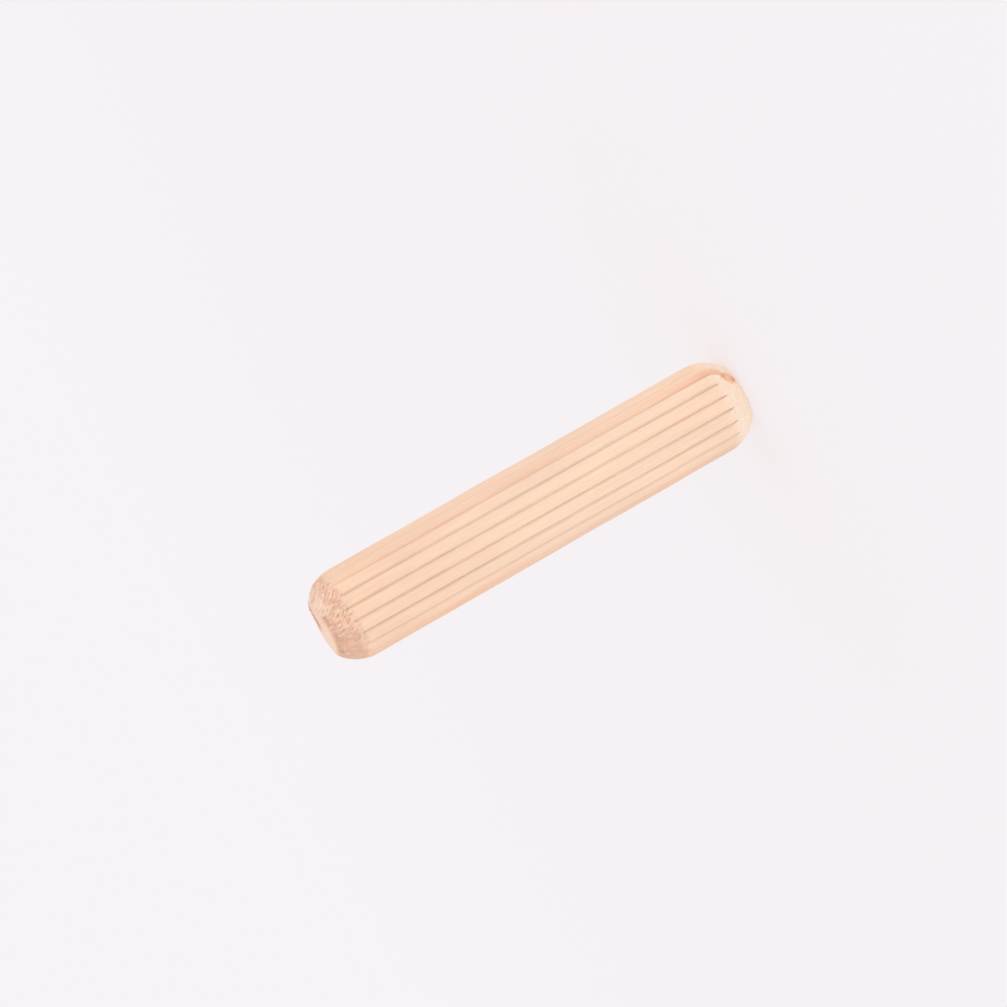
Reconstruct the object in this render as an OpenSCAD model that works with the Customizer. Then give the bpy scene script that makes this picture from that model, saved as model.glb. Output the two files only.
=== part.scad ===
// Wooden dowel pin with a row of glue flutes along one side.
// A turned pin, rounded over to a small flat at each end. The flutes are narrow V grooves,
// deepest at the middle of their row and fading out round the side, and the rest of the side
// is plain. It stands on its foot: +Z runs along the pin, the origin is the centre of the
// foot's flat, and the row of flutes faces -Y.

/* [Pin] */
// Length over the two end flats
pin_length = 50; // [25:1:120]
// Diameter over the lands between the flutes
pin_diameter = 10; // [6:0.5:20]

/* [Rounded ends] */
// Length along the pin that each end is rounded over
rounding_length = 3.6; // [2.6:0.1:6]
// How far in from the side the rounding ends, at the end flat
rounding_depth = 1.9; // [0.5:0.1:2.5]

/* [Flutes] */
// Number of flutes in the row
flute_count = 8; // [1:1:12]
// Angle round the pin from one flute to the next, in degrees
flute_spacing = 18; // [12:1:24]
// Depth of a flute at the middle of the row
flute_depth = 0.34; // [0.1:0.02:0.6]
// Angle between a flute's two walls, in degrees
flute_angle = 60; // [40:5:90]

/* [Hidden] */
$fn = 96;

pin_radius = pin_diameter / 2;
// The rounding is an arc that meets the side without a corner.
rounding_radius = (rounding_length ^ 2 + rounding_depth ^ 2) / (2 * rounding_depth);
// A flute's cutter stands clear of the side and runs clear of both ends by this much.
cutter_clear = 1;
// Angles of the flutes from the middle of the row.
flute_angles = [for (i = [0 : flute_count - 1]) (i - (flute_count - 1) / 2) * flute_spacing];
// The row fades out half a spacing beyond its outermost flutes.
fade_angle = flute_count * flute_spacing / 2;

// Depth of the flute at this angle: full depth at the middle of the row, falling with the
// cosine of the angle to nothing at the fade angle.
function flute_depth_at(angle) =
    flute_depth * (cos(angle) - cos(fade_angle)) / (1 - cos(fade_angle));

// Right-hand half of the section through the axis.
module half_section() {
    intersection() {
        square([pin_radius, pin_length]);
        union() {
            square([pin_radius - rounding_depth, pin_length]);
            translate([0, rounding_length])
                square([pin_radius, pin_length - 2 * rounding_length]);
            for (height = [rounding_length, pin_length - rounding_length])
                translate([pin_radius - rounding_radius, height])
                    circle(r = rounding_radius);
        }
    }
}

module flute_cutter(depth) {
    mouth = (depth + cutter_clear) * tan(flute_angle / 2);
    translate([0, -pin_radius, -cutter_clear])
        linear_extrude(pin_length + 2 * cutter_clear)
            polygon([[-mouth, -cutter_clear], [mouth, -cutter_clear], [0, depth]]);
}

module dowel() {
    color([0.93, 0.76, 0.6])
        difference() {
            rotate_extrude() half_section();
            for (angle = flute_angles)
                rotate(angle) flute_cutter(flute_depth_at(angle));
        }
}

dowel();
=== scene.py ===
"""A fluted wooden dowel pin standing on its foot, and the plain pale stage around it."""

import math
from types import SimpleNamespace

import bmesh
import bpy
from mathutils import Matrix, Vector, noise


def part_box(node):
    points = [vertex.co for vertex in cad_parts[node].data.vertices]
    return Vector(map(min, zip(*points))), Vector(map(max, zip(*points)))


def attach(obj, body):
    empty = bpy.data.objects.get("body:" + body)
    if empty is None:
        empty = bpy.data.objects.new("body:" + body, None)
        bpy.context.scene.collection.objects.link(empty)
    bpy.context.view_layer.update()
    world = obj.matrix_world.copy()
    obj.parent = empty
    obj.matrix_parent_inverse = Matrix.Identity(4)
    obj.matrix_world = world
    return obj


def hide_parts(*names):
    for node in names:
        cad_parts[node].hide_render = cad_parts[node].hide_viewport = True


bl_info = {
    "name": "Fluted dowel pin",
    "version": (1, 0, 0),
    "blender": (4, 5, 0),
    "location": "View3D > Sidebar > Dowel",
    "description": "Makes a fluted wooden dowel pin and a pale stage to show it on",
    "category": "Add Mesh",
}

MM = 0.001
NEAR = MM / 100  # points closer than this count as level with each other

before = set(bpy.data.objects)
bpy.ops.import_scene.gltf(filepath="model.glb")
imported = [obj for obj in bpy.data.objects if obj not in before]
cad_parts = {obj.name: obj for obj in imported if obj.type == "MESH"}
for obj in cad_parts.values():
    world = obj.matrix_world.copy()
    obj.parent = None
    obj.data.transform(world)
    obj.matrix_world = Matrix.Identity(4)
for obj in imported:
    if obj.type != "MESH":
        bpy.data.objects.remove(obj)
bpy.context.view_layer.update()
FOOT_CORNER, TOP_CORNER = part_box("dowel")
PIN_LENGTH = TOP_CORNER.z - FOOT_CORNER.z
PIN_RADIUS = (TOP_CORNER.x - FOOT_CORNER.x) / 2
PIN_MIDDLE = (FOOT_CORNER + TOP_CORNER) / 2


# ---------------------------------------- sizes and colours


def length_setting(name, description, default):
    return bpy.props.FloatProperty(
        name=name, description=description, default=default, unit="LENGTH", precision=5
    )


def place_setting(name, description, default):
    return bpy.props.FloatVectorProperty(
        name=name, description=description, default=default, subtype="TRANSLATION", precision=5
    )


def angle_setting(name, description, degrees):
    return bpy.props.FloatProperty(
        name=name, description=description, default=math.radians(degrees), subtype="ANGLE"
    )


def colour_setting(name, description, default):
    return bpy.props.FloatVectorProperty(
        name=name, description=description, default=default, subtype="COLOR", min=0, max=1
    )


class DowelShape(bpy.types.PropertyGroup):
    """Sizes of the pin inside its outer box, and how rough its surfaces are."""

    flute_count: bpy.props.IntProperty(
        name="Flutes", description="Number of flutes in the row", default=8, min=1, max=12
    )
    flute_spacing: angle_setting("Flute spacing", "Angle round the pin from one flute to the next", 18)
    flute_lean: angle_setting(
        "Flute lean", "Angle that the flutes turn round the pin from its foot to its top", 2.3
    )
    flute_depth: length_setting("Flute depth", "Depth of a flute at the middle of the row", 0.34 * MM)
    flute_width: length_setting("Flute width", "Width of the deepest flute at its mouth", 0.28 * MM)
    shallow_width: length_setting(
        "Shallow flute width",
        "How much wider a flute gets towards the ends of the row, where it is shallow",
        0.16 * MM,
    )
    flute_fill: length_setting(
        "Flute fill", "How far fibres fill a flute here and there along the side", 0.09 * MM
    )
    land_crown: length_setting(
        "Land crown", "How far a land drops from its middle to the flutes beside it", 0.03 * MM
    )
    rounding_length: length_setting(
        "Rounding length", "Length along the pin that each end is rounded over", 3.6 * MM
    )
    rounding_depth: length_setting(
        "Rounding depth", "How far in from the side the rounding ends, at the end flat", 1.9 * MM
    )
    closed_length: length_setting(
        "Closed length", "From the top to where the flutes are closed by torn fibres", 2.7 * MM
    )
    torn_start: length_setting(
        "Torn start", "How far up the top rounding its torn part starts", 0.65 * MM
    )
    torn_depth: length_setting(
        "Torn depth", "Depth of the pits where the cutter tore the top rounding's fibres", 0.16 * MM
    )
    torn_slant: angle_setting(
        "Torn slant", "Angle between the torn fibres and the pin, from the turning cutter", 30
    )
    broken_rim: length_setting("Broken rim", "Depth of the chips round the rim of the top flat", 0.3 * MM)
    rough_corner: length_setting(
        "Rough corner", "Depth of the worn corner at the back of the top flat", 0.075 * MM
    )
    foot_grain: length_setting(
        "Foot grain", "Depth of the raised end grain over the foot rounding", 0.04 * MM
    )
    turning_depth: length_setting(
        "Turning depth", "Depth of the broad hollows left along the side by turning", 0.05 * MM
    )
    grain_depth: length_setting("Grain depth", "Depth of the raised grain along the side", 0.02 * MM)


class DowelWood(bpy.types.PropertyGroup):
    """Colours and figure of the beech, and the colours of the light and shade painted on it."""

    early_colour: colour_setting("Early wood", "Pale wood of a year's first growth", (0.955, 0.695, 0.53))
    # Late wood's colour, also used for painted shade along the -X edge and towards the top
    late_wood_and_shade_colour: colour_setting("Late wood", "Pinker wood at a year's end", (0.94, 0.56, 0.38))
    # Rays' colour, also used for painted shade along the -X edge and where the flutes fade at the foot
    ray_and_shade_colour: colour_setting("Rays", "Flecks of the rays", (0.74, 0.46, 0.31))
    # Painted shade in the flutes and on the -X side of the torn top
    painted_shade_colour: colour_setting("Flutes", "Crushed wood at the bottom of the flutes", (0.76, 0.55, 0.43))
    # Grey painted shade in the middle flutes
    grey_shade_colour: colour_setting("Worn flutes", "Greyed wood in the middle flutes", (0.76, 0.70, 0.56))
    # Painted light on the foot rounding, and painted highlights on the torn fibres of the top
    painted_light_colour: colour_setting("Foot rounding", "Cleanly turned wood at the foot", (0.99, 0.80, 0.66))
    flat_colour: colour_setting("End flats", "Sawn end grain", (1.0, 0.735, 0.59))
    # Torn grain's colour, also used for painted shade on the -X side of the torn top
    torn_grain_and_shade_colour: colour_setting("Torn grain", "End grain that the cutter tore", (0.90, 0.51, 0.35))
    # Darker wood of fine pores and chips, also used for painted shade between the torn fibres
    pit_and_shade_colour: colour_setting("Pits", "Deep wood between the torn fibres", (0.66, 0.37, 0.25))
    # Open pores' colour, also used to darken the painted shade between the torn fibres
    pore_and_shade_colour: colour_setting("Pores", "Open pores at the ends", (0.36, 0.17, 0.09))
    stain_colour: colour_setting("Stain", "A darker mark across the foot rounding", (0.92, 0.49, 0.33))
    blot_colour: colour_setting("Blots", "The darkest spots of the stain", (0.66, 0.35, 0.19))
    stain_start: place_setting("Stain start", "Upper end of the mark", (2.53 * MM, -3.48 * MM, 1.2 * MM))
    stain_end: place_setting("Stain end", "Lower end of the mark", (1.62 * MM, -3.22 * MM, 0.4 * MM))
    stain_width: length_setting("Stain width", "Width of the mark at its middle", 1.5 * MM)
    ring_width: length_setting("Ring width", "Width of a year's growth", 4.2 * MM)
    ring_place: length_setting(
        "Ring place", "From the tree's middle to the end of one of the years", 33.7 * MM
    )
    pith_distance: length_setting(
        "Pith distance", "From the pin's axis to the middle of the tree that it was cut from", 31 * MM
    )
    pith_angle: angle_setting(
        "Pith angle", "Direction of the tree's middle, round from +Y towards +X", 18
    )


class DowelStage(bpy.types.PropertyGroup):
    """The floor, the lamp and the camera."""

    backdrop_colour: colour_setting(
        "Backdrop", "Colour of the air and of the floor far from the pin", (0.93, 0.899, 0.93)
    )
    floor_colour: colour_setting(
        "Floor", "Colour of the lit floor near the pin, under its glow", (0.47, 0.455, 0.47)
    )
    bounce_colour: colour_setting(
        "Bounce", "Colour of the floor where it lights the pin", (0.45, 0.45, 0.44)
    )
    lamp_colour: colour_setting("Lamp colour", "Colour of the soft lamp", (1.0, 0.98, 0.95))
    lamp_level: bpy.props.FloatProperty(
        name="Lamp level", description="How brightly it lights a surface that faces it", default=0.08
    )
    lamp_distance: length_setting("Lamp distance", "From the pin's middle to the lamp", 0.9)
    lamp_width: length_setting("Lamp width", "Width of the soft lamp", 0.9)
    lamp_height: length_setting("Lamp height", "Height of the soft lamp", 0.26)
    lamp_turn: angle_setting("Lamp turn", "Lamp's angle round the pin from -Y", 6)
    lamp_rise: angle_setting("Lamp rise", "Lamp's angle above the floor", 9)
    lens: bpy.props.FloatProperty(
        name="Lens", description="Focal length on a 36 mm sensor", default=150, subtype="DISTANCE_CAMERA"
    )
    distance: length_setting("Distance", "From the pin's middle to the camera", 0.4325)
    turn: angle_setting("Turn", "Camera's angle round the pin from -Y", 4)
    tilt: angle_setting("Tilt", "Camera's angle above the floor", 10.6)
    roll: angle_setting("Roll", "Angle of the pin in the picture, counter-clockwise from upright", 119.6)
    across: length_setting("Across", "How far the camera is moved to its right", -2.88 * MM)
    up: length_setting("Up", "How far the camera is moved up in its picture", 0.64 * MM)


# ---------------------------------------- modelling by hand

RING_POINTS = 360
SIDE_STEP = 0.5 * MM
ROUNDING_STEP = 0.1 * MM
CLOSED_DROP = 0.04 * MM  # how far the fibres that close a flute lie below the lands
CLOSED_RAGGED = 0.25 * MM  # how unevenly the flutes are closed


def select_points(passes):
    """Selects the points of the mesh being edited that pass a test, and gives their places."""
    bpy.ops.mesh.select_all(action="DESELECT")
    mesh = bmesh.from_edit_mesh(bpy.context.object.data)
    chosen = [point for point in mesh.verts if passes(point.co)]
    for point in chosen:
        point.select_set(True)
    mesh.select_flush(True)
    bmesh.update_edit_mesh(bpy.context.object.data)
    return [point.co.copy() for point in chosen]


def select_ring(height):
    return select_points(lambda place: abs(place.z - height) < NEAR)


def flute_angles(shape):
    middle = (shape.flute_count - 1) / 2
    return [(place - middle) * shape.flute_spacing for place in range(shape.flute_count)]


def lean_at(shape, height):
    """How far round the flutes have turned at a height, from none at mid length."""
    return shape.flute_lean * (height / PIN_LENGTH - 0.5)


def flute_depth_at(shape, angle):
    """Full depth at the middle of the row, and none half a spacing beyond its last flute."""
    fade = shape.flute_count * shape.flute_spacing / 2
    return shape.flute_depth * (math.cos(angle) - math.cos(fade)) / (1 - math.cos(fade))


def flute_width_at(shape, angle):
    shallowness = 1 - flute_depth_at(shape, angle) / shape.flute_depth
    return shape.flute_width + shape.shallow_width * shallowness


def outward_at(angle):
    """The way out from the axis at an angle round the pin, from -Y towards +X."""
    return Vector((math.sin(angle), -math.cos(angle), 0))


def press_in(outward, depth, width, falloff):
    """Presses the ring's point that lies outward from the axis in, and its neighbours with it."""
    half_step = math.cos(math.pi / RING_POINTS)
    select_points(lambda place: place.xy.normalized().dot(outward.xy) > half_step)
    bpy.ops.transform.translate(
        value=-depth * outward,
        use_proportional_edit=True,
        proportional_edit_falloff=falloff,
        proportional_size=width / 2,
    )


def start_ring(shape):
    """The pin's outline at mid length, with its flutes."""
    bpy.ops.object.select_all(action="DESELECT")
    bpy.ops.mesh.primitive_circle_add(vertices=RING_POINTS, radius=PIN_RADIUS, location=PIN_MIDDLE)
    pin = bpy.context.object
    bpy.ops.object.mode_set(mode="EDIT")
    bpy.context.tool_settings.mesh_select_mode = (True, False, False)
    for angle in flute_angles(shape):
        outward = outward_at(angle)
        share = flute_depth_at(shape, angle) / shape.flute_depth
        press_in(outward, shape.land_crown * share, shape.flute_spacing * PIN_RADIUS, "SMOOTH")
        press_in(outward, shape.flute_depth * share, flute_width_at(shape, angle), "LINEAR")
    return pin


def extrude_up(height):
    bpy.ops.mesh.extrude_region_move(TRANSFORM_OT_translate={"value": (0, 0, height)})


def draw_side(shape):
    """Draws the outline up the side in equal steps, to where the rounding starts."""
    side = PIN_LENGTH / 2 - shape.rounding_length
    steps = math.ceil(side / SIDE_STEP)
    bpy.ops.mesh.select_all(action="SELECT")
    for _ in range(steps):
        extrude_up(side / steps)
    return side


def true_up(height, passes, radius):
    """Brings the points at a height that pass a test to one radius from the axis."""
    chosen = select_points(lambda place: abs(place.z - height) < NEAR and passes(place))
    if not chosen:
        return
    middle = bpy.context.object.matrix_world @ Vector((0, 0, height))
    share = radius * len(chosen) / sum(place.xy.length for place in chosen)
    bpy.ops.transform.tosphere(value=1, center_override=middle)
    bpy.ops.transform.resize(value=(share, share, 1), center_override=middle)


def rounding_radius(shape):
    """Radius of the arc that rounds an end."""
    return (shape.rounding_length**2 + shape.rounding_depth**2) / (2 * shape.rounding_depth)


def turn_rounding(shape, height):
    """Goes on up in steps, and turns what stands proud of the rounding's arc down to it."""
    radius = rounding_radius(shape)
    sweep = math.asin(shape.rounding_length / radius)
    steps = math.ceil(radius * sweep / ROUNDING_STEP)
    start = height
    for step in range(1, steps + 1):
        angle = sweep * step / steps
        level = start + radius * math.sin(angle)
        limit = PIN_RADIUS - radius * (1 - math.cos(angle))
        select_ring(height)
        extrude_up(level - height)
        height = level
        true_up(height, lambda place: place.xy.length > limit, limit)
    select_ring(height)


def close_end(shape):
    """Fills the ring that is selected with an even grid, which can take a relief of its own."""
    bpy.ops.mesh.fill_grid(span=RING_POINTS // 4, offset=0)
    rim = PIN_RADIUS - shape.rounding_depth - NEAR
    select_points(lambda place: place.xy.length < rim)
    bpy.ops.mesh.vertices_smooth(factor=0.5, repeat=40)


def profile_radius(shape, height):
    """Radius of the clean lands at a height over the foot."""
    past = shape.rounding_length - min(height, PIN_LENGTH - height)
    if past <= 0:
        return PIN_RADIUS
    radius = rounding_radius(shape)
    return PIN_RADIUS - radius + math.sqrt(radius**2 - past**2)


def close_flutes(shape):
    """Closes the flutes over the top rounding, where the cutter pushed the fibres into them."""
    levels = sorted({round(point.co.z, 6) for point in bpy.context.object.data.vertices})
    bpy.ops.object.mode_set(mode="EDIT")
    for number, angle in enumerate(flute_angles(shape)):
        inside = math.cos(flute_width_at(shape, angle) / PIN_RADIUS)
        start = TOP_CORNER.z - shape.closed_length + CLOSED_RAGGED * math.sin(5 * number)
        for level in levels:
            if start < level < TOP_CORNER.z - MM:
                outward = outward_at(angle + lean_at(shape, level)).xy
                rest = profile_radius(shape, level) - CLOSED_DROP
                true_up(
                    level,
                    lambda place: place.xy.length < rest and place.xy.normalized().dot(outward) > inside,
                    rest,
                )
    bpy.ops.object.mode_set(mode="OBJECT")


def mirror_down(pin):
    modifier = pin.modifiers.new("other_half", "MIRROR")
    modifier.use_axis = (False, False, True)
    modifier.merge_threshold = NEAR
    bpy.ops.object.modifier_apply(modifier=modifier.name)


def lean_flutes(pin, shape):
    """Twists the pin a little about its middle, so that its flutes lean."""
    modifier = pin.modifiers.new("lean", "SIMPLE_DEFORM")
    modifier.deform_method = "TWIST"
    modifier.deform_axis = "Z"
    modifier.angle = shape.flute_lean
    bpy.ops.object.modifier_apply(modifier=modifier.name)


def base_pin(shape):
    """The pin with clean surfaces, its place in its mesh."""
    pin = start_ring(shape)
    pin.name = pin.data.name = "dowel_pin"
    side = draw_side(shape)
    turn_rounding(shape, side)
    close_end(shape)
    bpy.ops.object.mode_set(mode="OBJECT")
    mirror_down(pin)
    bpy.ops.object.mode_set(mode="EDIT")
    bpy.ops.mesh.select_all(action="SELECT")
    bpy.ops.mesh.normals_make_consistent(inside=False)
    bpy.ops.object.mode_set(mode="OBJECT")
    lean_flutes(pin, shape)
    bpy.ops.object.transform_apply(location=True)
    close_flutes(shape)
    return pin


# ---------------------------------------- surface of the pin

# A rule is a function that gives a number from 0 to 1 at a place on the pin.


def ease(value, low, high):
    """Eases from 0 to 1 as the value goes from low to high."""
    share = min(max((value - low) / (high - low), 0), 1)
    return share * share * (3 - 2 * share)


def clouds(place, grain, contrast=1.0, layers=2):
    """Cloudy noise from 0 to 1, with clouds of the grain's size along X, Y and Z."""
    spot = Vector(side / size for side, size in zip(place, grain))
    value = 0
    share = 1
    for _ in range(layers):
        value += share * noise.noise(spot)
        spot = 2.1 * spot + Vector((17, 5, 11))
        share *= 0.5
    return min(max(0.5 + contrast * value, 0), 1)


def unrolled(place, slant):
    """The place carried out to the side, so that a pattern there runs slanting over the roundings."""
    turn = Matrix.Rotation(place.z * math.tan(slant) / PIN_RADIUS, 2)
    outward = turn @ (place.xy.normalized() * PIN_RADIUS)
    return Vector((outward.x, outward.y, place.z))


def press(pin, name, depth, rule, direction):
    """Presses the surface in by up to depth, as far as a rule says at each point.

    A depth below 0 raises it.
    """
    group = pin.vertex_groups.new(name=name)
    for point in pin.data.vertices:
        group.add([point.index], rule(point.co), "REPLACE")
    modifier = pin.modifiers.new(name, "DISPLACE")
    modifier.direction = direction
    modifier.vertex_group = name
    modifier.mid_level = 0
    modifier.strength = -depth
    bpy.ops.object.modifier_apply(modifier=name)


def keep_value(pin, name, rule):
    """Stores a number for each point, which the material reads."""
    attribute = pin.data.attributes.new(name, "FLOAT", "POINT")
    attribute.data.foreach_set("value", [rule(point.co) for point in pin.data.vertices])


def nearest_end(place):
    """How far a point lies from the nearer end, along the pin."""
    return min(place.z - FOOT_CORNER.z, TOP_CORNER.z - place.z)


def on_flat(place):
    return nearest_end(place) < NEAR


def depth_in(shape, place):
    """How far a point of the side or the roundings lies below the clean lands."""
    return 0 if on_flat(place) else profile_radius(shape, place.z) - place.xy.length


def fluted(shape, place):
    """How far down its own flute a point lies, from 0 at the land to 1 at the bottom."""
    angle = math.atan2(place.x, -place.y) - lean_at(shape, place.z)
    nearest = min(flute_angles(shape), key=lambda flute: abs(flute - angle))
    depth = flute_depth_at(shape, nearest)
    return ease(depth_in(shape, place) - shape.land_crown, 0, 0.6 * depth)


def along_side(shape, place):
    """1 along the side, fading out over the roundings."""
    past = shape.rounding_length - nearest_end(place)
    return 1 - ease(past, 0.2 * shape.rounding_length, 0.8 * shape.rounding_length)


def foot_end(shape, place):
    return 1 - ease(place.z, shape.rounding_length - 1.2 * MM, shape.rounding_length)


def top_end(shape, place):
    """The torn end starts at a ragged edge, a little later on the +X side."""
    softness = 0.6 * MM
    edge = PIN_LENGTH - shape.rounding_length + shape.torn_start
    edge += 0.3 * MM * ease(place.x, 2 * MM, 4.8 * MM)
    ragged = 0.5 * MM * clouds(place, 3 * [0.5 * MM], contrast=1.5)
    return ease(place.z - ragged, edge - softness, edge + softness)


def torn(shape, place):
    """Strokes and tufts of torn fibres over the top end, which hardly reach on to its flat."""
    spot = unrolled(place, shape.torn_slant)
    strokes = clouds(spot, (0.24 * MM, 0.24 * MM, 0.9 * MM), contrast=1.1)
    tufts = clouds(spot, (0.5 * MM, 0.5 * MM, 0.7 * MM), contrast=0.9)
    relief = (0.6 * strokes + 0.4 * tufts) * top_end(shape, place)
    if on_flat(place):
        flat_radius = PIN_RADIUS - shape.rounding_depth
        relief *= 0.12 + 0.88 * ease(place.xy.length, flat_radius - 0.3 * MM, flat_radius)
    return relief


def near_top_flat(shape, place):
    """1 over the top flat, fading out down the rounding below it."""
    flat_radius = PIN_RADIUS - shape.rounding_depth
    above = place.z > PIN_LENGTH / 2
    return above * (1 - ease(place.xy.length, flat_radius + 0.1 * MM, flat_radius + 0.9 * MM))


def rim(shape, place):
    """Chips round the rim of the top flat."""
    flat_radius = PIN_RADIUS - shape.rounding_depth
    near = ease(place.xy.length, flat_radius - 0.45 * MM, flat_radius) * near_top_flat(shape, place)
    chips = clouds(place, (1.1 * MM, 1.1 * MM, 2 * MM), contrast=1.3)
    return near * ease(chips, 0.3, 0.8)


def corner(shape, place):
    """A rough corner at the back of the top flat."""
    near = ease(place.x, -0.6 * MM, 0.4 * MM) * ease(place.y, 0, 0.9 * MM)
    wear = ease(clouds(place, 3 * [0.6 * MM]), -0.1, 0.5)
    return near * near_top_flat(shape, place) * wear


def chipped(shape, place):
    return max(rim(shape, place), corner(shape, place))


def foot_grain(shape, place):
    return foot_end(shape, place) * clouds(place, 3 * [0.3 * MM], contrast=1.5)


def turned(shape, place):
    return along_side(shape, place) * clouds(place, (3 * MM, 3 * MM, 9 * MM))


def side_grain(shape, place):
    return along_side(shape, place) * clouds(place, (0.2 * MM, 0.2 * MM, 5 * MM), contrast=1.3)


def flute_fill(shape, place):
    """Fibres that stand in the flutes here and there, away from their ends."""
    in_flute = ease(depth_in(shape, place), 0.12 * MM, 0.3 * MM)
    off_ends = ease(nearest_end(place), 4 * MM, 12 * MM)
    fibres = clouds(place, (0.9 * MM, 0.9 * MM, 4 * MM))
    return along_side(shape, place) * in_flute * off_ends * fibres


def finish_surface(pin, shape):
    """The wear of making: a torn top, a cleaner foot, raised grain and uneven flutes."""

    def rule(made):
        return lambda place: made(shape, place)

    keep_value(pin, "flat", on_flat)
    for name, made in (("flute", fluted), ("torn", torn), ("top_end", top_end), ("chipped", chipped)):
        keep_value(pin, name, rule(made))
    for name, depth, made, direction in (
        ("torn_fibres", shape.torn_depth, torn, "Z"),
        ("broken_rim", shape.broken_rim, rim, "Z"),
        ("rough_corner", shape.rough_corner, corner, "Z"),
        ("foot_grain", -shape.foot_grain, foot_grain, "Z"),
        ("turning", shape.turning_depth, turned, "NORMAL"),
        ("side_grain", shape.grain_depth, side_grain, "NORMAL"),
        ("flute_fill", -shape.flute_fill, flute_fill, "NORMAL"),
    ):
        press(pin, name, depth, rule(made), direction)
    bpy.ops.object.shade_smooth()


# ---------------------------------------- nodes

# The wood's nodes count in millimetres.

ORIGIN = (0, 0, 0)


def add_node(tree, kind, inputs=None, **settings):
    """A node with its settings, and its inputs given as numbers or as sockets to link."""
    made = tree.nodes.new("ShaderNode" + kind)
    for key, value in settings.items():
        setattr(made, key, value)
    for key, value in (inputs or {}).items():
        if isinstance(value, bpy.types.NodeSocket):
            tree.links.new(value, made.inputs[key])
        else:
            made.inputs[key].default_value = value
    return made


def reckon(tree, operation, *values):
    return add_node(tree, "Math", dict(enumerate(values)), operation=operation).outputs["Value"]


def times(tree, first, *others):
    """The product of numbers or masks."""
    for other in others:
        first = reckon(tree, "MULTIPLY", first, other)
    return first


def ramp(tree, value, low, high, out_low=0.0, out_high=1.0):
    """Eases from out_low to out_high as the value goes from low to high."""
    inputs = {"Value": value, "From Min": low, "From Max": high, "To Min": out_low, "To Max": out_high}
    return add_node(tree, "MapRange", inputs, interpolation_type="SMOOTHSTEP").outputs["Result"]


def reckon_vectors(tree, operation, *vectors):
    made = add_node(tree, "VectorMath", dict(enumerate(vectors)), operation=operation)
    return made.outputs["Vector"]


def distance_between(tree, first, second):
    return add_node(tree, "VectorMath", {0: first, 1: second}, operation="DISTANCE").outputs["Value"]


def scale_vector(tree, vector, scale):
    made = add_node(tree, "VectorMath", {0: vector, "Scale": scale}, operation="SCALE")
    return made.outputs["Vector"]


def join_axes(tree, **axes):
    return add_node(tree, "CombineXYZ", axes).outputs["Vector"]


def axes_of(tree, vector):
    parts = add_node(tree, "SeparateXYZ", {"Vector": vector}).outputs
    return parts["X"], parts["Y"], parts["Z"]


def turn_round_axis(tree, vector, angle):
    """The vector turned round the pin's axis."""
    inputs = {"Vector": vector, "Angle": angle, "Center": ORIGIN}
    return add_node(tree, "VectorRotate", inputs, rotation_type="Z_AXIS").outputs["Vector"]


def blend_colours(tree, share, first, second, how="MIX"):
    # The Mix node repeats its names for each kind of value, so its sockets go by number.
    inputs = {0: share, 6: first, 7: second}
    mixed = add_node(tree, "Mix", inputs, data_type="RGBA", blend_type=how, clamp_factor=True)
    return mixed.outputs[2]


def shade_colour(tree, colour, shade):
    """The colour made darker or lighter by a number."""
    grey = add_node(tree, "CombineColor", dict.fromkeys(("Red", "Green", "Blue"), shade))
    return blend_colours(tree, 1.0, colour, grey.outputs["Color"], "MULTIPLY")


def stretch(tree, vector, size):
    """The vector in units of the size, so that a pattern gets features of that size."""
    scale = [1 / side for side in size]
    return add_node(tree, "Mapping", {"Vector": vector, "Scale": scale}).outputs["Vector"]


def mottle(tree, vector, detail=2.0, roughness=0.5):
    inputs = {"Vector": vector, "Scale": 1.0, "Detail": detail, "Roughness": roughness}
    return add_node(tree, "TexNoise", inputs).outputs["Fac"]


def in_strands(tree, vector, width, length):
    """The vector in units of a strand's width, and of its length up the grain."""
    size = join_axes(tree, X=width, Y=width, Z=length)
    return reckon_vectors(tree, "DIVIDE", vector, size)


def scattered(tree, vector, scale=1.0):
    """Cells scattered at random: how far the nearest one is, and a colour of its own."""
    inputs = {"Vector": vector, "Scale": scale, "Randomness": 1.0}
    return add_node(tree, "TexVoronoi", inputs, feature="F1").outputs


def own_number(tree, cell):
    """A number from 0 to 1 that each cell has for its own."""
    return add_node(tree, "SeparateColor", {"Color": cell["Color"]}).outputs["Red"]


def new_group(name, inputs, *outputs):
    """An empty node group with named sockets, and its input and output nodes.

    Each input has its usual value, and each output is a number unless it is called Vector.
    """
    tree = bpy.data.node_groups.new(name, "ShaderNodeTree")
    for socket, value in inputs.items():
        kind = "NodeSocketFloat" if isinstance(value, float) else "NodeSocketVector"
        made = tree.interface.new_socket(socket, in_out="INPUT", socket_type=kind)
        made.default_value = value
    for socket in outputs:
        kind = "NodeSocketVector" if socket == "Vector" else "NodeSocketFloat"
        tree.interface.new_socket(socket, in_out="OUTPUT", socket_type=kind)
    return tree, tree.nodes.new("NodeGroupInput").outputs, tree.nodes.new("NodeGroupOutput").inputs


def use_group(tree, group, **inputs):
    """Places a group, and gives what it puts out."""
    named = {name.replace("_", " "): value for name, value in inputs.items()}
    return add_node(tree, "Group", named, node_tree=group).outputs


# ---------------------------------------- node groups for wood


def tree_space_group():
    """Turns a place into millimetres round the tree, out from its pith and up the grain."""
    inputs = {"Vector": ORIGIN, "Pith Distance": 30.0, "Pith Angle": 0.0}
    tree, given, result = new_group("tree_space", inputs, "Vector")
    x, y, z = axes_of(tree, turn_round_axis(tree, given["Vector"], given["Pith Angle"]))
    back = reckon(tree, "SUBTRACT", given["Pith Distance"], y)
    round_way = times(tree, reckon(tree, "ARCTAN2", x, back), given["Pith Distance"])
    squares = reckon(tree, "MULTIPLY_ADD", back, back, times(tree, x, x))
    joined = join_axes(tree, X=round_way, Y=reckon(tree, "SQRT", squares), Z=z)
    tree.links.new(joined, result["Vector"])
    return tree


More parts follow.
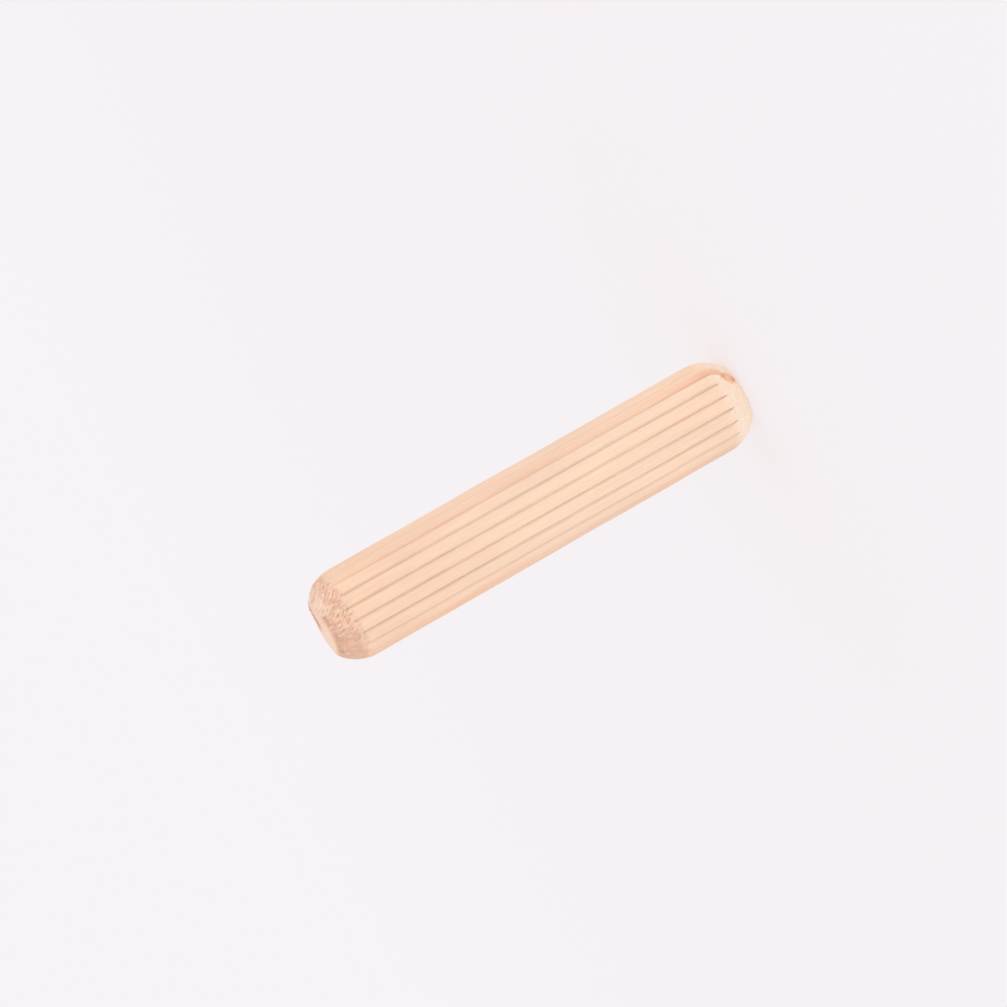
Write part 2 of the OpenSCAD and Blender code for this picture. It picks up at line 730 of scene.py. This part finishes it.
def growth_rings_group():
    """Late wood that deepens through each year and stops short at its end."""
    inputs = {"Vector": ORIGIN, "Ring Place": 30.0, "Ring Width": 2.5, "Waver": 0.4}
    tree, given, result = new_group("growth_rings", inputs, "Late")
    drift = mottle(tree, stretch(tree, given["Vector"], (7, 9, 40)), detail=1)
    drift = times(tree, reckon(tree, "SUBTRACT", drift, 0.5), given["Waver"])
    _, out_way, _ = axes_of(tree, given["Vector"])
    past = reckon(tree, "SUBTRACT", reckon(tree, "ADD", out_way, drift), given["Ring Place"])
    season = reckon(tree, "FRACT", reckon(tree, "DIVIDE", past, given["Ring Width"]))
    rise = reckon(tree, "POWER", ramp(tree, season, 0.5, 0.96), 2.6)
    fall = ramp(tree, season, 0.96, 1.0, 1.0, 0.0)
    tree.links.new(times(tree, rise, fall), result["Late"])
    return tree


def ray_flecks_group():
    """Rays and pores that show as thin strokes up the grain, each with its own size and strength."""
    inputs = {"Vector": ORIGIN, "Spacing": (0.36, 0.42, 2.6), "Size": 0.34}
    tree, given, result = new_group("ray_flecks", inputs, "Fleck")
    bend = mottle(tree, stretch(tree, given["Vector"], (1.5, 6, 4)), detail=1)
    bend = times(tree, reckon(tree, "SUBTRACT", bend, 0.5), 0.5)
    bent = reckon_vectors(tree, "ADD", given["Vector"], join_axes(tree, X=bend))
    cell = scattered(tree, reckon_vectors(tree, "DIVIDE", bent, given["Spacing"]))
    own = own_number(tree, cell)
    reach = times(tree, given["Size"], ramp(tree, own, 0.0, 1.0, 0.35, 1.0))
    depth = reckon(tree, "DIVIDE", cell["Distance"], reach)
    tree.links.new(times(tree, ramp(tree, depth, 0.3, 1.0, 1.0, 0.0), own), result["Fleck"])
    return tree


def fibre_group():
    """Fine streaks along the grain, and the pores that show as short dark strokes or as dots."""
    inputs = {"Vector": ORIGIN, "Width": 0.16, "Length": 6.0}
    tree, given, result = new_group("fibre", inputs, "Streak", "Pore")
    streak = in_strands(tree, given["Vector"], given["Width"], given["Length"])
    tree.links.new(mottle(tree, streak, detail=3, roughness=0.6), result["Streak"])
    cell = scattered(tree, stretch(tree, given["Vector"], (0.11, 0.11, 1.6)))
    tree.links.new(ramp(tree, cell["Distance"], 0.18, 0.34, 1.0, 0.0), result["Pore"])
    return tree


def torn_fibres_group():
    """Short strokes that run slanting over the rounding: a soft mottle and sharp dashes."""
    inputs = {"Vector": ORIGIN, "Radius": 5.0, "Slant": 0.5, "Width": 0.18, "Length": 0.5}
    tree, given, result = new_group("torn_fibres", inputs, "Stroke", "Dash")
    _, _, height = axes_of(tree, given["Vector"])
    across = reckon_vectors(tree, "MULTIPLY", given["Vector"], (1, 1, 0))
    outward = reckon_vectors(tree, "NORMALIZE", across)
    round_way = times(tree, height, reckon(tree, "TANGENT", given["Slant"]))
    turn = reckon(tree, "DIVIDE", round_way, given["Radius"])
    x, y, _ = axes_of(tree, scale_vector(tree, turn_round_axis(tree, outward, turn), given["Radius"]))
    side = join_axes(tree, X=x, Y=y, Z=height)
    stroke = in_strands(tree, side, given["Width"], given["Length"])
    tree.links.new(mottle(tree, stroke, detail=3, roughness=0.65), result["Stroke"])
    cell = scattered(tree, stroke, 0.95)
    dash = ramp(tree, cell["Distance"], 0.1, 0.6, 1.0, 0.0)
    tree.links.new(times(tree, dash, ramp(tree, own_number(tree, cell), 0.0, 0.6)), result["Dash"])
    return tree


def end_pores_group():
    """Open pores on the end grain: small dark dots, in clusters."""
    inputs = {"Vector": ORIGIN, "Spacing": 0.5, "Size": 0.2}
    tree, given, result = new_group("end_pores", inputs, "Pore")
    cell = scattered(tree, in_strands(tree, given["Vector"], given["Spacing"], 1.4))
    reach = times(tree, given["Size"], ramp(tree, own_number(tree, cell), 0.25, 1.0))
    depth = reckon(tree, "DIVIDE", cell["Distance"], reckon(tree, "ADD", reach, 0.01))
    dot = ramp(tree, depth, 0.5, 1.0, 1.0, 0.0)
    cluster = ramp(tree, mottle(tree, stretch(tree, given["Vector"], (2, 2, 3)), detail=1), 0.42, 0.62)
    tree.links.new(times(tree, dot, cluster), result["Pore"])
    return tree


def long_mark_group():
    """A long oval mark with a ragged edge round two points, and a darker blot at each of them."""
    inputs = {"Vector": ORIGIN, "Start": ORIGIN, "End": ORIGIN, "Width": 0.7}
    tree, given, result = new_group("long_mark", inputs, "Mark", "Blot")
    from_start = distance_between(tree, given["Vector"], given["Start"])
    from_end = distance_between(tree, given["Vector"], given["End"])
    length = distance_between(tree, given["Start"], given["End"])
    ways = reckon(tree, "ADD", from_start, from_end)
    over = reckon(tree, "SUBTRACT", times(tree, ways, ways), times(tree, length, length))
    width = reckon(tree, "SQRT", reckon(tree, "MAXIMUM", over, 0))
    speckle = mottle(tree, stretch(tree, given["Vector"], (0.3, 0.3, 0.3)))
    share = reckon(tree, "DIVIDE", width, given["Width"])
    share = reckon(tree, "ADD", share, reckon(tree, "SUBTRACT", speckle, 0.5))
    tree.links.new(ramp(tree, share, 0.75, 1.15, 1.0, 0.0), result["Mark"])
    nearest = reckon(tree, "MINIMUM", from_start, from_end)
    near = reckon(tree, "ADD", nearest, times(tree, speckle, -0.4))
    tree.links.new(ramp(tree, near, 0.0, 0.2, 1.0, 0.0), result["Blot"])
    return tree


# ---------------------------------------- the beech


class Coat:
    """A colour that is laid over the wood in layers."""

    def __init__(self, tree, wood):
        self.tree = tree
        self.wood = wood
        self.colour = (*wood.early_colour, 1)

    def cover(self, name, *masks):
        """Covers it with one of the wood's colours, where all the masks let it."""
        share = times(self.tree, *masks)
        self.colour = blend_colours(self.tree, share, self.colour, (*getattr(self.wood, name), 1))

    def shade(self, shade):
        """Makes it darker or lighter by a number."""
        self.colour = shade_colour(self.tree, self.colour, shade)


def read_surface(tree, wood, slant):
    """Where a point lies, in millimetres, and the masks that more than one layer uses."""

    def stored(name):
        return add_node(tree, "Attribute", attribute_name=name).outputs["Fac"]

    place = scale_vector(tree, add_node(tree, "TexCoord").outputs["Object"], 1 / MM)
    x, y, z = axes_of(tree, place)
    in_tree = use_group(
        tree,
        tree_space_group(),
        Vector=place,
        Pith_Distance=wood.pith_distance / MM,
        Pith_Angle=wood.pith_angle,
    )["Vector"]
    rings = use_group(
        tree,
        growth_rings_group(),
        Vector=in_tree,
        Ring_Place=wood.ring_place / MM,
        Ring_Width=wood.ring_width / MM,
    )
    fibre = use_group(tree, fibre_group(), Vector=in_tree)
    torn_fibres = use_group(tree, torn_fibres_group(), Vector=place, Slant=slant)
    cloud = mottle(tree, stretch(tree, place, (1.6, 1.6, 8)))
    flat = stored("flat")
    top = stored("top_end")
    off_flat = ramp(tree, flat, 0, 1, 1.0, 0.0)
    return SimpleNamespace(
        place=place,
        x=x,
        z=z,
        late=rings["Late"],
        fleck=use_group(tree, ray_flecks_group(), Vector=in_tree)["Fleck"],
        streak=fibre["Streak"],
        fine_pore=fibre["Pore"],
        open_pore=use_group(tree, end_pores_group(), Vector=place)["Pore"],
        stroke=torn_fibres["Stroke"],
        dash=torn_fibres["Dash"],
        cloud=cloud,
        flat=flat,
        off_flat=off_flat,
        flute=stored("flute"),
        torn=stored("torn"),
        chipped=stored("chipped"),
        top_end=top,
        roughed=times(tree, top, off_flat),
        foot_end=ramp(tree, z, 1.6, 3.6, 1.0, 0.0),
        burnished=ramp(tree, y, -2.0, 1.5, 1.0, 0.0),
        stained_side=times(tree, ramp(tree, x, 0.5, 2.0), ramp(tree, y, -2.5, -1.0, 1.0, 0.0)),
    )


def grow_wood(coat, at):
    """Late wood, warmer sides and a warmer top, flecks of the rays, and streaks of the fibres. Along the
    -X edge it is darker and warmer partly from painted shade and painted warm bounce light, and towards
    the top partly from painted shade.
    """
    tree = coat.tree
    uneven = ramp(tree, at.cloud, 0.35, 0.65, 0.4, 0.95)
    near_stain = times(tree, at.stained_side, ramp(tree, at.z, 3.0, 9.0, 0.95, 0.0))
    strength = reckon(tree, "MAXIMUM", uneven, near_stain)
    coat.cover("late_wood_and_shade_colour", at.late, ramp(tree, at.z, 8, 42, 1.0, 0.6), strength)
    coat.cover("late_wood_and_shade_colour", ramp(tree, at.cloud, 0.45, 0.7, 0.0, 0.16))
    # Painted shade and painted warm bounce light along the -X edge, partly over warmer wood there
    coat.cover("late_wood_and_shade_colour", uneven, ramp(tree, at.x, -4.8, -3.5, 0.9, 0.0))
    coat.cover("late_wood_and_shade_colour", ramp(tree, at.x, 3.2, 4.4, 0.0, 0.18))
    # More painted shade along the -X edge towards the top
    shade_towards_top = ramp(tree, at.z, 24, 40, 0.0, 0.25)
    coat.cover("late_wood_and_shade_colour", ramp(tree, at.x, -4.5, -3.6, 1.0, 0.0), shade_towards_top)
    coat.cover("ray_and_shade_colour", ramp(tree, at.x, -4.9, -4.0, 0.3, 0.0))
    # Painted shade towards the top end, partly warmer wood
    coat.cover("late_wood_and_shade_colour", ramp(tree, at.z, 24, 46, 0.0, 0.24))
    coat.cover("ray_and_shade_colour", at.fleck, ramp(tree, at.burnished, 0, 1, 0.65, 0.05))
    patch = mottle(tree, stretch(tree, at.place, (3, 3, 14)), detail=1)
    coat.shade(ramp(tree, patch, 0.3, 0.7, 0.975, 1.02))
    coat.shade(ramp(tree, at.streak, 0.3, 0.7, 0.96, 1.03))


def press_flutes(coat, at):
    """Painted shade in the flutes, greyer in the middle of the row and fainter high up on its +X side."""
    tree = coat.tree
    groove = times(tree, at.flute, ramp(tree, at.top_end, 0, 1, 1.0, 0.0))
    beside = reckon(tree, "ABSOLUTE", at.x)
    faint = times(tree, ramp(tree, at.x, 2.6, 3.4), ramp(tree, at.z, 30, 46, 0.0, 0.7))
    # Painted shade in the flutes, strongest in the shallow flutes towards the ends of the row
    flute_shade = ramp(tree, beside, 0.6, 2.6, 0.02, 0.5)
    coat.cover("painted_shade_colour", flute_shade, reckon(tree, "SUBTRACT", 1, faint), groove)
    # Greyer painted shade in the middle flutes
    coat.cover("grey_shade_colour", groove, ramp(tree, beside, 0.6, 2.6, 0.22, 0.0))


def turn_foot(coat, at):
    """Painted light on the pale foot rounding, which the late wood crosses, and painted shade where the
    flutes fade.
    """
    tree = coat.tree
    kept = times(tree, at.late, at.stained_side, ramp(tree, at.z, 0.8, 1.6))
    # Painted light makes the foot rounding paler, most of all towards -X
    paler = ramp(tree, at.x, -3.0, -0.5, 1.0, 0.75)
    coat.cover("painted_light_colour", at.foot_end, ramp(tree, kept, 0, 0.5, paler, 0.05))
    coat.cover("ray_and_shade_colour", kept, ramp(tree, at.z, 2.0, 5.0, 0.5, 0.0))
    # Painted shade where the flutes fade out over the foot rounding
    coat.cover("ray_and_shade_colour", ramp(tree, at.flute, 0.0, 0.35), ramp(tree, at.z, 2.4, 3.4, 0.6, 0.0))


def mark_stain(coat, at):
    """The darker mark across the foot rounding, with its blots."""
    stain = use_group(
        coat.tree,
        long_mark_group(),
        Vector=at.place,
        Start=[side / MM for side in coat.wood.stain_start],
        End=[side / MM for side in coat.wood.stain_end],
        Width=coat.wood.stain_width / MM,
    )
    coat.cover("stain_colour", stain["Mark"], 0.85)
    coat.cover("blot_colour", stain["Mark"], stain["Blot"], 0.65)


def tear_top(coat, at):
    """Torn fibres over the top rounding, which are smoother towards -X, where painted shade darkens them.
    Painted shade, partly darker torn grain, lies between the fibres, and painted highlights lie on their
    tops.
    """
    tree = coat.tree
    roughed = at.roughed
    # Painted shade towards -X, where the torn fibres are also smoother
    shaded_and_smooth = ramp(tree, at.x, -4.0, 2.0, 1.0, 0.0)
    tuft = reckon(tree, "ADD", times(tree, at.torn, 0.55), times(tree, at.stroke, 0.45))
    # More torn colour towards -X high up the rounding is painted shade
    lower_shade = times(tree, shaded_and_smooth, ramp(tree, at.z, 46.4, 48.4, 0.0, 0.4))
    ground = reckon(tree, "ADD", ramp(tree, tuft, 0.3, 0.65, 0.5, 0.85), lower_shade)
    coat.cover("torn_grain_and_shade_colour", roughed, ground)
    # Painted shade, darker and greyer towards -X
    coat.cover("painted_shade_colour", roughed, ramp(tree, shaded_and_smooth, 0, 1, 0.0, 0.3))
    coat.shade(ramp(tree, times(tree, roughed, shaded_and_smooth), 0, 1, 1.0, 0.95))
    # Painted highlights on the tops of the torn fibres, fewer towards -X
    crest_highlights = ramp(tree, at.stroke, 0.5, 0.62)
    coat.cover("painted_light_colour", roughed, crest_highlights, ramp(tree, shaded_and_smooth, 0, 1, 0.95, 0.2))
    clump = mottle(tree, stretch(tree, at.place, (0.8, 0.8, 0.8)), detail=1)
    clumped = ramp(tree, clump, 0.4, 0.6, 0.35, 1.0)
    # Painted shade, partly darker torn grain, in the hollows between the torn fibres
    shaded_gaps = times(tree, at.dash, clumped, ramp(tree, shaded_and_smooth, 0, 1, 1.0, 0.15))
    coat.cover("pit_and_shade_colour", roughed, shaded_gaps)
    coat.cover("pore_and_shade_colour", roughed, shaded_gaps, 0.25)
    lighter = ramp(tree, clump, 0.35, 0.65, 0.94, 1.03)
    coat.colour = blend_colours(tree, roughed, coat.colour, shade_colour(tree, coat.colour, lighter))


def saw_flats(coat, at):
    """Sawn end grain with fine pores, frayed over the rim of the top flat and chipped there."""
    tree = coat.tree
    coat.cover("flat_colour", at.flat, 0.9)
    across = reckon_vectors(tree, "MULTIPLY", at.place, (1, 1, 0))
    from_axis = add_node(tree, "VectorMath", {0: across}, operation="LENGTH").outputs["Value"]
    frayed_width = ramp(tree, at.x, -0.6, 1.8, 0.0, 0.9)
    past_rim = reckon(tree, "SUBTRACT", from_axis, frayed_width)
    near_rim = ramp(tree, past_rim, 2.9, 3.4, 1.0, 0.0)
    coat.cover("flat_colour", at.roughed, near_rim, ramp(tree, at.cloud, 0.4, 0.6, 0.5, 0.9))
    sawn = mottle(tree, stretch(tree, at.place, (0.5, 0.9, 0.9)), detail=3, roughness=0.6)
    coat.shade(ramp(tree, times(tree, at.flat, sawn), 0.0, 0.8, 1.0, 0.97))
    coat.cover("pit_and_shade_colour", at.flat, at.fine_pore, 0.4)
    pinker_side = ramp(tree, at.x, -0.5, 1.0)
    pinker = reckon(tree, "MULTIPLY_ADD", at.chipped, 0.6, 0.25)
    coat.cover("torn_grain_and_shade_colour", at.flat, pinker_side, pinker)
    spotted_flat = times(tree, at.flat, ramp(tree, sawn, 0.3, 0.7, 0.7, 1.0))
    spotted_rim = times(tree, at.off_flat, ramp(tree, at.stroke, 0.35, 0.65, 0.2, 0.8))
    coat.cover("pit_and_shade_colour", at.chipped, reckon(tree, "ADD", spotted_flat, spotted_rim))


def raised_grain(tree, at, pores):
    """The height of the fine grain: streaks and pores all over, and tears at the ends."""
    grain = reckon(tree, "SUBTRACT", at.streak, times(tree, at.fine_pore, 0.5))
    grain = reckon(tree, "SUBTRACT", grain, times(tree, pores, 2.0))
    ends = reckon(tree, "MAXIMUM", times(tree, at.top_end, 1.5), at.foot_end)
    tears = times(tree, reckon(tree, "SUBTRACT", at.stroke, at.dash), ends, at.off_flat)
    return reckon(tree, "MULTIPLY_ADD", tears, 3.0, grain)


def beech(wood, slant):
    """Bare beech: rings, rays and fibres run through the solid, and its ends are torn or sawn. Painted
    light and shade lie over its flutes, its ends and its -X edge.
    """
    material = bpy.data.materials.new("beech")
    material.use_nodes = True
    tree = material.node_tree
    shader = tree.nodes["Principled BSDF"]
    at = read_surface(tree, wood, slant)
    coat = Coat(tree, wood)
    for layer in (grow_wood, press_flutes, turn_foot, mark_stain, tear_top, saw_flats):
        layer(coat, at)
    any_end = reckon(tree, "MAXIMUM", at.foot_end, at.top_end)
    open_wood = ramp(tree, times(tree, at.burnished, at.off_flat), 0, 1, 0.8, 0.1)
    pores = times(tree, at.open_pore, any_end, open_wood)
    coat.cover("pore_and_shade_colour", pores)
    tree.links.new(coat.colour, shader.inputs["Base Color"])

    dull = ramp(tree, at.streak, 0.2, 0.8, 0.72, 0.58)
    tree.links.new(reckon(tree, "MULTIPLY_ADD", at.top_end, 0.15, dull), shader.inputs["Roughness"])
    height = raised_grain(tree, at, pores)
    bump = add_node(tree, "Bump", {"Height": height, "Strength": 0.5, "Distance": 0.03 * MM})
    tree.links.new(bump.outputs["Normal"], shader.inputs["Normal"])
    return material


# ---------------------------------------- the stage

FLOOR_RADIUS = 3
FLOOR_POINTS = 96
FLOOR_GLOW = 0.5  # share of the backdrop's colour that the lit floor shines with by itself
MELT_START = 0.12  # from the pin's axis to where the lit floor starts to melt into the backdrop
MELT_END = 0.6
BOUNCE_LIGHT = (1.0, 0.99, 0.97)
BOUNCE_LEVEL = 0.55
ROOM_LIGHT = (1.0, 0.99, 0.98)
ROOM_LEVEL = 0.95
SENSOR_WIDTH = 36
NEAREST_SEEN = 0.01


def looked_at(tree):
    """1 where the camera looks straight, in a reflection or through glass, and 0 for light."""
    path = add_node(tree, "LightPath").outputs
    mirrored = reckon(tree, "MAXIMUM", path["Is Glossy Ray"], path["Is Transmission Ray"])
    return reckon(tree, "MAXIMUM", path["Is Camera Ray"], mirrored)


def shine(tree, colour, level, kind="Emission"):
    return add_node(tree, kind, {"Color": (*colour, 1), "Strength": level}).outputs[0]


def lit_and_shining(tree, colour, own_light):
    lit = add_node(tree, "BsdfDiffuse", {"Color": (*colour, 1)}).outputs[0]
    return add_node(tree, "AddShader", {0: lit, 1: own_light}).outputs[0]


def mix_shaders(tree, share, first, second):
    return add_node(tree, "MixShader", {0: share, 1: first, 2: second}).outputs[0]


def floor_material(stage):
    """Lit near the pin and the backdrop's colour far out, with a bounce of its own for the pin."""
    material = bpy.data.materials.new("floor")
    material.use_nodes = True
    tree = material.node_tree
    tree.nodes.clear()
    glow = shine(tree, stage.backdrop_colour, FLOOR_GLOW)
    near = lit_and_shining(tree, stage.floor_colour, glow)
    place = add_node(tree, "TexCoord").outputs["Object"]
    away = add_node(tree, "VectorMath", {0: place}, operation="LENGTH").outputs["Value"]
    far = shine(tree, stage.backdrop_colour, 1.0)
    seen = mix_shaders(tree, ramp(tree, away, MELT_START, MELT_END), near, far)
    bounce = lit_and_shining(tree, stage.bounce_colour, shine(tree, BOUNCE_LIGHT, BOUNCE_LEVEL))
    surface = mix_shaders(tree, looked_at(tree), bounce, seen)
    add_node(tree, "OutputMaterial", {"Surface": surface}).is_active_output = True
    return material


def backdrop_floor(stage):
    """A wide floor that is lit near the pin and melts into the backdrop further out."""
    bpy.ops.object.select_all(action="DESELECT")
    bpy.ops.mesh.primitive_circle_add(
        vertices=FLOOR_POINTS, radius=FLOOR_RADIUS, fill_type="NGON", location=(0, 0, FOOT_CORNER.z)
    )
    floor = bpy.context.object
    floor.name = "floor"
    floor.data.materials.append(floor_material(stage))


def backdrop_world(stage):
    """Even soft light from all round, and the backdrop's colour where the camera looks past the floor."""
    world = bpy.data.worlds.new("soft_room")
    bpy.context.scene.world = world
    world.use_nodes = True
    tree = world.node_tree
    tree.nodes.clear()
    room = shine(tree, ROOM_LIGHT, ROOM_LEVEL, "Background")
    seen = shine(tree, stage.backdrop_colour, 1.0, "Background")
    add_node(tree, "OutputWorld", {"Surface": mix_shaders(tree, looked_at(tree), room, seen)})


def add_to_scene(name, data):
    holder = bpy.data.objects.new(name, data)
    bpy.context.scene.collection.objects.link(holder)
    return holder


def way_out(turn, rise):
    """The way out from the pin at an angle round it from -Y, and at an angle above the floor."""
    return math.cos(rise) * outward_at(turn) + Vector((0, 0, math.sin(rise)))


def soft_lamp(stage):
    """A wide lamp aimed at the pin, as strong as its level whatever its distance."""
    lamp = bpy.data.lights.new("key", "AREA")
    lamp.shape = "RECTANGLE"
    lamp.size = stage.lamp_width
    lamp.size_y = stage.lamp_height
    lamp.energy = stage.lamp_level * (math.pi * stage.lamp_distance) ** 2
    lamp.color = stage.lamp_colour
    holder = add_to_scene("key", lamp)
    way = way_out(stage.lamp_turn, stage.lamp_rise)
    holder.location = PIN_MIDDLE + stage.lamp_distance * way
    holder.rotation_euler = way.to_track_quat("Z", "Y").to_euler()


def aim_camera(stage):
    """Looks at the pin from its fluted side, with the pin lying across the picture."""
    camera = bpy.data.cameras.new("camera")
    camera.lens = stage.lens
    camera.sensor_width = SENSOR_WIDTH
    camera.clip_start = NEAREST_SEEN
    holder = add_to_scene("camera", camera)
    bpy.context.scene.camera = holder
    back = way_out(stage.turn, stage.tilt)
    upright = back.to_track_quat("Z", "Y").to_matrix().to_4x4()
    rolled = upright @ Matrix.Rotation(-stage.roll, 4, "Z")
    aside = rolled.to_3x3() @ Vector((stage.across, stage.up, 0))
    holder.matrix_world = Matrix.Translation(PIN_MIDDLE + stage.distance * back + aside) @ rolled


# ---------------------------------------- operators and panel


class DOWEL_OT_pin(bpy.types.Operator):
    """Make the dowel pin from its outline, and finish it in beech"""

    bl_idname = "dowel.pin"
    bl_label = "Dowel pin"

    def execute(self, context):
        shape = context.scene.dowel_shape
        pin = base_pin(shape)
        finish_surface(pin, shape)
        pin.data.materials.append(beech(context.scene.dowel_wood, shape.torn_slant))
        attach(pin, "root")
        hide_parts("dowel")
        return {"FINISHED"}


class DOWEL_OT_stage(bpy.types.Operator):
    """Make the floor, the soft light and the camera"""

    bl_idname = "dowel.stage"
    bl_label = "Stage"

    def execute(self, context):
        stage = context.scene.dowel_stage
        context.scene.view_settings.view_transform = "Standard"
        backdrop_floor(stage)
        backdrop_world(stage)
        soft_lamp(stage)
        aim_camera(stage)
        return {"FINISHED"}


class DOWEL_PT_panel(bpy.types.Panel):
    """Lists what the add-on makes and the sizes it uses"""

    bl_label = "Dowel pin"
    bl_space_type = "VIEW_3D"
    bl_region_type = "UI"
    bl_category = "Dowel"

    def draw(self, context):
        scene = context.scene
        for operator, groups in (
            (DOWEL_OT_pin, (scene.dowel_shape, scene.dowel_wood)),
            (DOWEL_OT_stage, (scene.dowel_stage,)),
        ):
            self.layout.operator(operator.bl_idname)
            for group in groups:
                for name in group.__annotations__:
                    self.layout.prop(group, name)


CLASSES = (DowelShape, DowelWood, DowelStage, DOWEL_OT_pin, DOWEL_OT_stage, DOWEL_PT_panel)


def register():
    for made in CLASSES:
        bpy.utils.register_class(made)
    bpy.types.Scene.dowel_shape = bpy.props.PointerProperty(type=DowelShape)
    bpy.types.Scene.dowel_wood = bpy.props.PointerProperty(type=DowelWood)
    bpy.types.Scene.dowel_stage = bpy.props.PointerProperty(type=DowelStage)


def unregister():
    del bpy.types.Scene.dowel_stage
    del bpy.types.Scene.dowel_wood
    del bpy.types.Scene.dowel_shape
    for made in reversed(CLASSES):
        bpy.utils.unregister_class(made)


def main():
    register()
    bpy.ops.dowel.pin()
    bpy.ops.dowel.stage()


if __name__ == "__main__":
    main()
